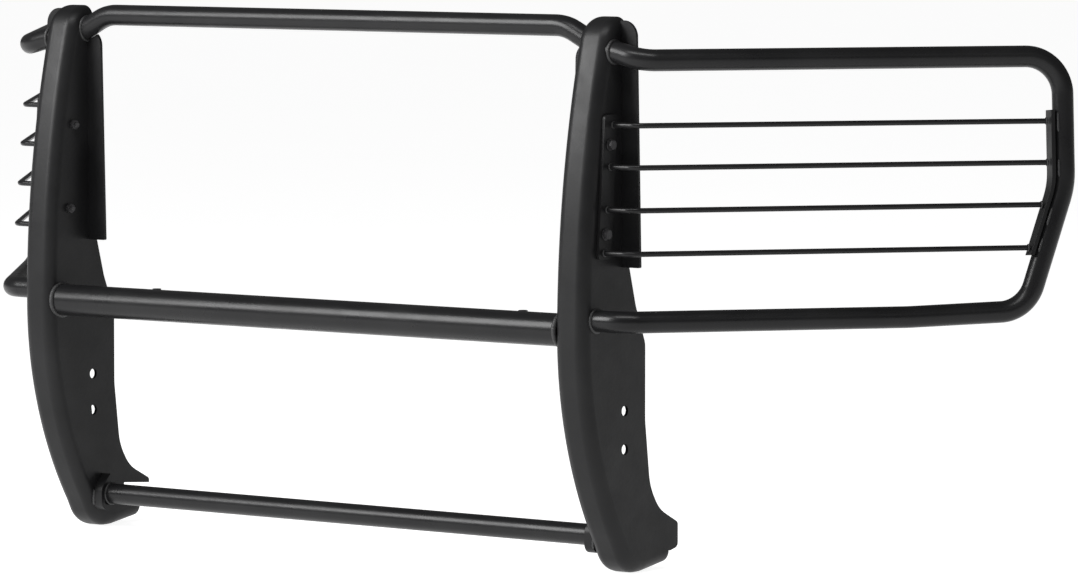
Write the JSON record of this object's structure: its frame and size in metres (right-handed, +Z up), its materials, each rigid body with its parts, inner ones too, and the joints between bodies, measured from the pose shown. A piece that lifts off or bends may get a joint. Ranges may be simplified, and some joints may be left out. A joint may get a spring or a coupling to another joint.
{
  "type": "front grille guard",
  "caption": "Black steel grille guard for a truck: two curved channel uprights, cross tubes, and swept headlight hoops filled with thin rods.",
  "frame": {"origin": "on the symmetry plane, midway in height between the two frame-bracket bolt holes of the uprights and on those holes' line", "axes": "+X to the right seen from in front of the truck, +Y from the noses back towards the truck, +Z up"},
  "size_m": [2.009, 0.5838, 0.8088],
  "materials": {
    "black_powder_coat": "semi-gloss",
    "black_zinc_fastener": "satin"
  },
  "bodies": {
    "root": {"left_upright": "black_powder_coat", "left_lower_tube_saddle": "black_powder_coat", "left_wing_hoop": "black_powder_coat", "left_wing_inner_bar": "black_powder_coat", "left_wing_end_bar": "black_powder_coat", "left_wing_rod_1": "black_powder_coat", "left_wing_rod_2": "black_powder_coat", "left_wing_rod_3": "black_powder_coat", "left_wing_rod_4": "black_powder_coat", "left_wing_bolt_1": "black_zinc_fastener", "left_wing_washer_1": "black_zinc_fastener", "left_wing_nut_1": "black_zinc_fastener", "left_wing_bolt_2": "black_zinc_fastener", "left_wing_washer_2": "black_zinc_fastener", "left_wing_nut_2": "black_zinc_fastener", "left_light_tab": "black_powder_coat", "left_light_tab_bolt": "black_zinc_fastener", "right_upright": "black_powder_coat", "right_lower_tube_saddle": "black_powder_coat", "right_wing_hoop": "black_powder_coat", "right_wing_inner_bar": "black_powder_coat", "right_wing_end_bar": "black_powder_coat", "right_wing_rod_1": "black_powder_coat", "right_wing_rod_2": "black_powder_coat", "right_wing_rod_3": "black_powder_coat", "right_wing_rod_4": "black_powder_coat", "right_wing_bolt_1": "black_zinc_fastener", "right_wing_washer_1": "black_zinc_fastener", "right_wing_nut_1": "black_zinc_fastener", "right_wing_bolt_2": "black_zinc_fastener", "right_wing_washer_2": "black_zinc_fastener", "right_wing_nut_2": "black_zinc_fastener", "right_light_tab": "black_powder_coat", "right_light_tab_bolt": "black_zinc_fastener", "top_cross_tube": "black_powder_coat", "middle_cross_tube": "black_powder_coat", "lower_cross_tube": "black_powder_coat"}
  },
  "joints": []
}
